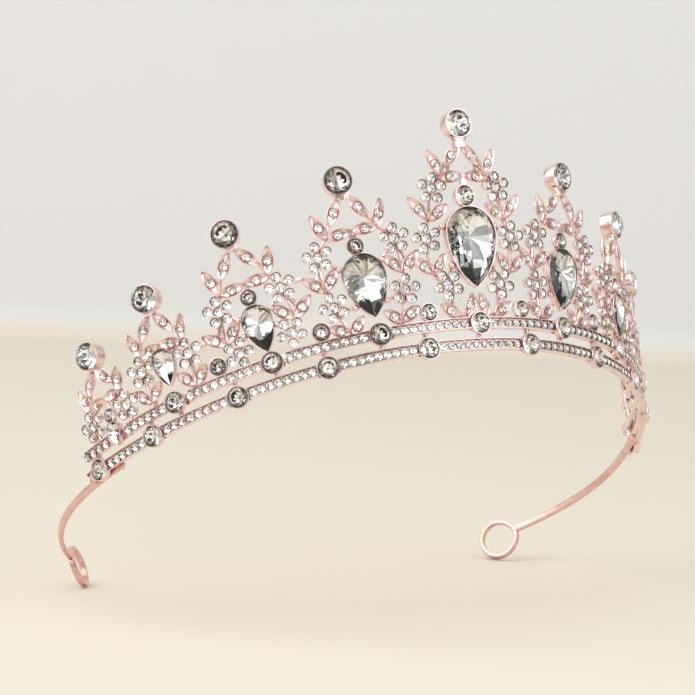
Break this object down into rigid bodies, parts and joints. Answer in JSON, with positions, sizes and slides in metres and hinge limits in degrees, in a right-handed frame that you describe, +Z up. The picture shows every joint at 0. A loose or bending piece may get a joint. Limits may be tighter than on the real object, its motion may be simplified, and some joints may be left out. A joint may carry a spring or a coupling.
{
  "type": "bridal tiara",
  "caption": "Arched bridal tiara: an openwork plate of leaves, flowers and pear stones on stone-set rails, with flat arms that end in hairpin eyes.",
  "frame": {"origin": "middle of the tiara's footprint, at the height of the lowest points of the two hairpin eyes", "axes": "the ring lies level: +X runs from the wearer's right arm to the left arm, -Y is the front, +Z runs up the crests"},
  "size_m": [0.1582, 0.1336, 0.062],
  "materials": {
    "plate_metal": "polished rose-gold plating",
    "setting_metal": "polished rose-gold plating",
    "arm_metal": "satin rose-gold plating",
    "crystal": "faceted, foil-backed"
  },
  "bodies": {
    "root": {"lower_rail": "plate_metal", "upper_rail": "plate_metal", "rail_posts": "plate_metal", "centre_crest": "plate_metal", "left_1_crest": "plate_metal", "right_1_crest": "plate_metal", "left_2_crest": "plate_metal", "right_2_crest": "plate_metal", "left_3_crest": "plate_metal", "right_3_crest": "plate_metal", "left_4_crest": "plate_metal", "right_4_crest": "plate_metal", "rail_cups": "setting_metal", "dip_settings": "setting_metal", "centre_crest_cup": "setting_metal", "left_1_crest_cup": "setting_metal", "right_1_crest_cup": "setting_metal", "left_2_crest_cup": "setting_metal", "right_2_crest_cup": "setting_metal", "left_3_crest_cup": "setting_metal", "right_3_crest_cup": "setting_metal", "left_4_crest_cup": "setting_metal", "right_4_crest_cup": "setting_metal", "centre_pear_setting": "setting_metal", "left_1_pear_setting": "setting_metal", "right_1_pear_setting": "setting_metal", "left_2_pear_setting": "setting_metal", "right_2_pear_setting": "setting_metal", "left_3_pear_setting": "setting_metal", "right_3_pear_setting": "setting_metal", "left_4_pear_setting": "setting_metal", "right_4_pear_setting": "setting_metal", "crest_stones": "crystal", "pear_stones": "crystal", "drop_stones": "crystal", "dip_stones": "crystal", "rail_stones": "crystal", "lower_pave_stones": "crystal", "upper_pave_stones": "crystal", "centre_flower_stones": "crystal", "left_flower_stones": "crystal", "right_flower_stones": "crystal", "centre_leaf_stones": "crystal", "left_leaf_stones": "crystal", "right_leaf_stones": "crystal", "left_arm": "arm_metal", "right_arm": "arm_metal", "left_eye": "arm_metal", "right_eye": "arm_metal"}
  },
  "joints": []
}
